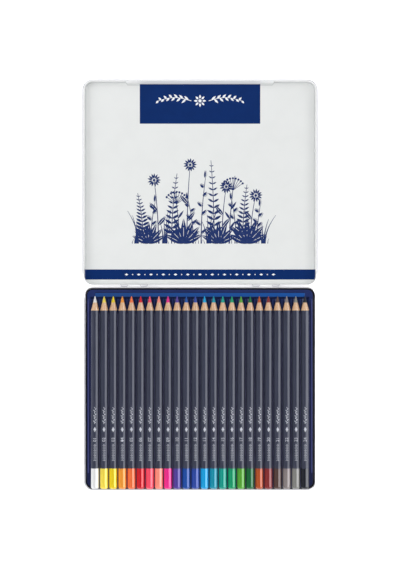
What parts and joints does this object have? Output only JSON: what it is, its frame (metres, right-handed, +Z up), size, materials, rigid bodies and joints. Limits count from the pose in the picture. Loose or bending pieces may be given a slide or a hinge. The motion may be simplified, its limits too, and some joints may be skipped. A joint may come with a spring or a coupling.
{
  "type": "watercolor pencil set",
  "caption": "Flat hinged tinplate case, open flat, with a moulded tray that holds a row of round watercolor pencils.",
  "frame": {"origin": "middle of the tin base's flat underside, on the table", "axes": "+X to the right along the row of pencils, +Y from the blunt ends toward the hinge and the open lid, +Z up"},
  "size_m": [0.214, 0.3741, 0.0125],
  "materials": {
    "tinplate": "bare bright tinplate",
    "white_lacquer": "white lacquer",
    "hinge_wire": "drawn wire",
    "tray_plastic": "satin",
    "casing": "dark slate lacquer",
    "white_core": "waxy colour core",
    "lemon_core": "waxy colour core",
    "yellow_core": "waxy colour core",
    "amber_core": "waxy colour core",
    "orange_core": "waxy colour core",
    "red_core": "waxy colour core",
    "rose_core": "waxy colour core",
    "salmon_core": "waxy colour core",
    "magenta_core": "waxy colour core",
    "violet_core": "waxy colour core",
    "blue_core": "waxy colour core",
    "ultramarine_core": "waxy colour core",
    "sky_blue_core": "waxy colour core",
    "turquoise_core": "waxy colour core",
    "teal_core": "waxy colour core",
    "emerald_core": "waxy colour core",
    "light_green_core": "waxy colour core",
    "dark_green_core": "waxy colour core",
    "rust_core": "waxy colour core",
    "dark_red_core": "waxy colour core",
    "brown_core": "waxy colour core",
    "warm_grey_core": "waxy colour core",
    "cold_grey_core": "waxy colour core",
    "black_core": "waxy colour core"
  },
  "bodies": {
    "base": {"tin_base": "tinplate", "hinge_pin_left": "hinge_wire", "hinge_pin_right": "hinge_wire"},
    "lid": {"tin_lid": "white_lacquer"},
    "tray": {"pencil_tray": "tray_plastic"},
    "white_pencil": {"white_pencil_casing": "casing", "white_pencil_core": "white_core"},
    "lemon_pencil": {"lemon_pencil_casing": "casing", "lemon_pencil_core": "lemon_core"},
    "yellow_pencil": {"yellow_pencil_casing": "casing", "yellow_pencil_core": "yellow_core"},
    "amber_pencil": {"amber_pencil_casing": "casing", "amber_pencil_core": "amber_core"},
    "orange_pencil": {"orange_pencil_casing": "casing", "orange_pencil_core": "orange_core"},
    "red_pencil": {"red_pencil_casing": "casing", "red_pencil_core": "red_core"},
    "rose_pencil": {"rose_pencil_casing": "casing", "rose_pencil_core": "rose_core"},
    "salmon_pencil": {"salmon_pencil_casing": "casing", "salmon_pencil_core": "salmon_core"},
    "magenta_pencil": {"magenta_pencil_casing": "casing", "magenta_pencil_core": "magenta_core"},
    "violet_pencil": {"violet_pencil_casing": "casing", "violet_pencil_core": "violet_core"},
    "blue_pencil": {"blue_pencil_casing": "casing", "blue_pencil_core": "blue_core"},
    "ultramarine_pencil": {"ultramarine_pencil_casing": "casing", "ultramarine_pencil_core": "ultramarine_core"},
    "sky_blue_pencil": {"sky_blue_pencil_casing": "casing", "sky_blue_pencil_core": "sky_blue_core"},
    "turquoise_pencil": {"turquoise_pencil_casing": "casing", "turquoise_pencil_core": "turquoise_core"},
    "teal_pencil": {"teal_pencil_casing": "casing", "teal_pencil_core": "teal_core"},
    "emerald_pencil": {"emerald_pencil_casing": "casing", "emerald_pencil_core": "emerald_core"},
    "light_green_pencil": {"light_green_pencil_casing": "casing", "light_green_pencil_core": "light_green_core"},
    "dark_green_pencil": {"dark_green_pencil_casing": "casing", "dark_green_pencil_core": "dark_green_core"},
    "rust_pencil": {"rust_pencil_casing": "casing", "rust_pencil_core": "rust_core"},
    "dark_red_pencil": {"dark_red_pencil_casing": "casing", "dark_red_pencil_core": "dark_red_core"},
    "brown_pencil": {"brown_pencil_casing": "casing", "brown_pencil_core": "brown_core"},
    "warm_grey_pencil": {"warm_grey_pencil_casing": "casing", "warm_grey_pencil_core": "warm_grey_core"},
    "cold_grey_pencil": {"cold_grey_pencil_casing": "casing", "cold_grey_pencil_core": "cold_grey_core"},
    "black_pencil": {"black_pencil_casing": "casing", "black_pencil_core": "black_core"}
  },
  "joints": [
    {"name": "lid_hinge", "type": "hinge", "parent": "base", "child": "lid", "pos_m": [0, 0.09355, 0.007], "axis": [-1, 0, 0], "range_deg": [-180, 0]},
    {"name": "tray_lift", "type": "slide", "parent": "base", "child": "tray", "axis": [0, 0, 1], "range_m": [0, 0.03]},
    {"name": "white_pencil_lift", "type": "slide", "parent": "tray", "child": "white_pencil", "axis": [0, 0, 1], "range_m": [0, 0.04]},
    {"name": "lemon_pencil_lift", "type": "slide", "parent": "tray", "child": "lemon_pencil", "axis": [0, 0, 1], "range_m": [0, 0.04]},
    {"name": "yellow_pencil_lift", "type": "slide", "parent": "tray", "child": "yellow_pencil", "axis": [0, 0, 1], "range_m": [0, 0.04]},
    {"name": "amber_pencil_lift", "type": "slide", "parent": "tray", "child": "amber_pencil", "axis": [0, 0, 1], "range_m": [0, 0.04]},
    {"name": "orange_pencil_lift", "type": "slide", "parent": "tray", "child": "orange_pencil", "axis": [0, 0, 1], "range_m": [0, 0.04]},
    {"name": "red_pencil_lift", "type": "slide", "parent": "tray", "child": "red_pencil", "axis": [0, 0, 1], "range_m": [0, 0.04]},
    {"name": "rose_pencil_lift", "type": "slide", "parent": "tray", "child": "rose_pencil", "axis": [0, 0, 1], "range_m": [0, 0.04]},
    {"name": "salmon_pencil_lift", "type": "slide", "parent": "tray", "child": "salmon_pencil", "axis": [0, 0, 1], "range_m": [0, 0.04]},
    {"name": "magenta_pencil_lift", "type": "slide", "parent": "tray", "child": "magenta_pencil", "axis": [0, 0, 1], "range_m": [0, 0.04]},
    {"name": "violet_pencil_lift", "type": "slide", "parent": "tray", "child": "violet_pencil", "axis": [0, 0, 1], "range_m": [0, 0.04]},
    {"name": "blue_pencil_lift", "type": "slide", "parent": "tray", "child": "blue_pencil", "axis": [0, 0, 1], "range_m": [0, 0.04]},
    {"name": "ultramarine_pencil_lift", "type": "slide", "parent": "tray", "child": "ultramarine_pencil", "axis": [0, 0, 1], "range_m": [0, 0.04]},
    {"name": "sky_blue_pencil_lift", "type": "slide", "parent": "tray", "child": "sky_blue_pencil", "axis": [0, 0, 1], "range_m": [0, 0.04]},
    {"name": "turquoise_pencil_lift", "type": "slide", "parent": "tray", "child": "turquoise_pencil", "axis": [0, 0, 1], "range_m": [0, 0.04]},
    {"name": "teal_pencil_lift", "type": "slide", "parent": "tray", "child": "teal_pencil", "axis": [0, 0, 1], "range_m": [0, 0.04]},
    {"name": "emerald_pencil_lift", "type": "slide", "parent": "tray", "child": "emerald_pencil", "axis": [0, 0, 1], "range_m": [0, 0.04]},
    {"name": "light_green_pencil_lift", "type": "slide", "parent": "tray", "child": "light_green_pencil", "axis": [0, 0, 1], "range_m": [0, 0.04]},
    {"name": "dark_green_pencil_lift", "type": "slide", "parent": "tray", "child": "dark_green_pencil", "axis": [0, 0, 1], "range_m": [0, 0.04]},
    {"name": "rust_pencil_lift", "type": "slide", "parent": "tray", "child": "rust_pencil", "axis": [0, 0, 1], "range_m": [0, 0.04]},
    {"name": "dark_red_pencil_lift", "type": "slide", "parent": "tray", "child": "dark_red_pencil", "axis": [0, 0, 1], "range_m": [0, 0.04]},
    {"name": "brown_pencil_lift", "type": "slide", "parent": "tray", "child": "brown_pencil", "axis": [0, 0, 1], "range_m": [0, 0.04]},
    {"name": "warm_grey_pencil_lift", "type": "slide", "parent": "tray", "child": "warm_grey_pencil", "axis": [0, 0, 1], "range_m": [0, 0.04]},
    {"name": "cold_grey_pencil_lift", "type": "slide", "parent": "tray", "child": "cold_grey_pencil", "axis": [0, 0, 1], "range_m": [0, 0.04]},
    {"name": "black_pencil_lift", "type": "slide", "parent": "tray", "child": "black_pencil", "axis": [0, 0, 1], "range_m": [0, 0.04]}
  ]
}
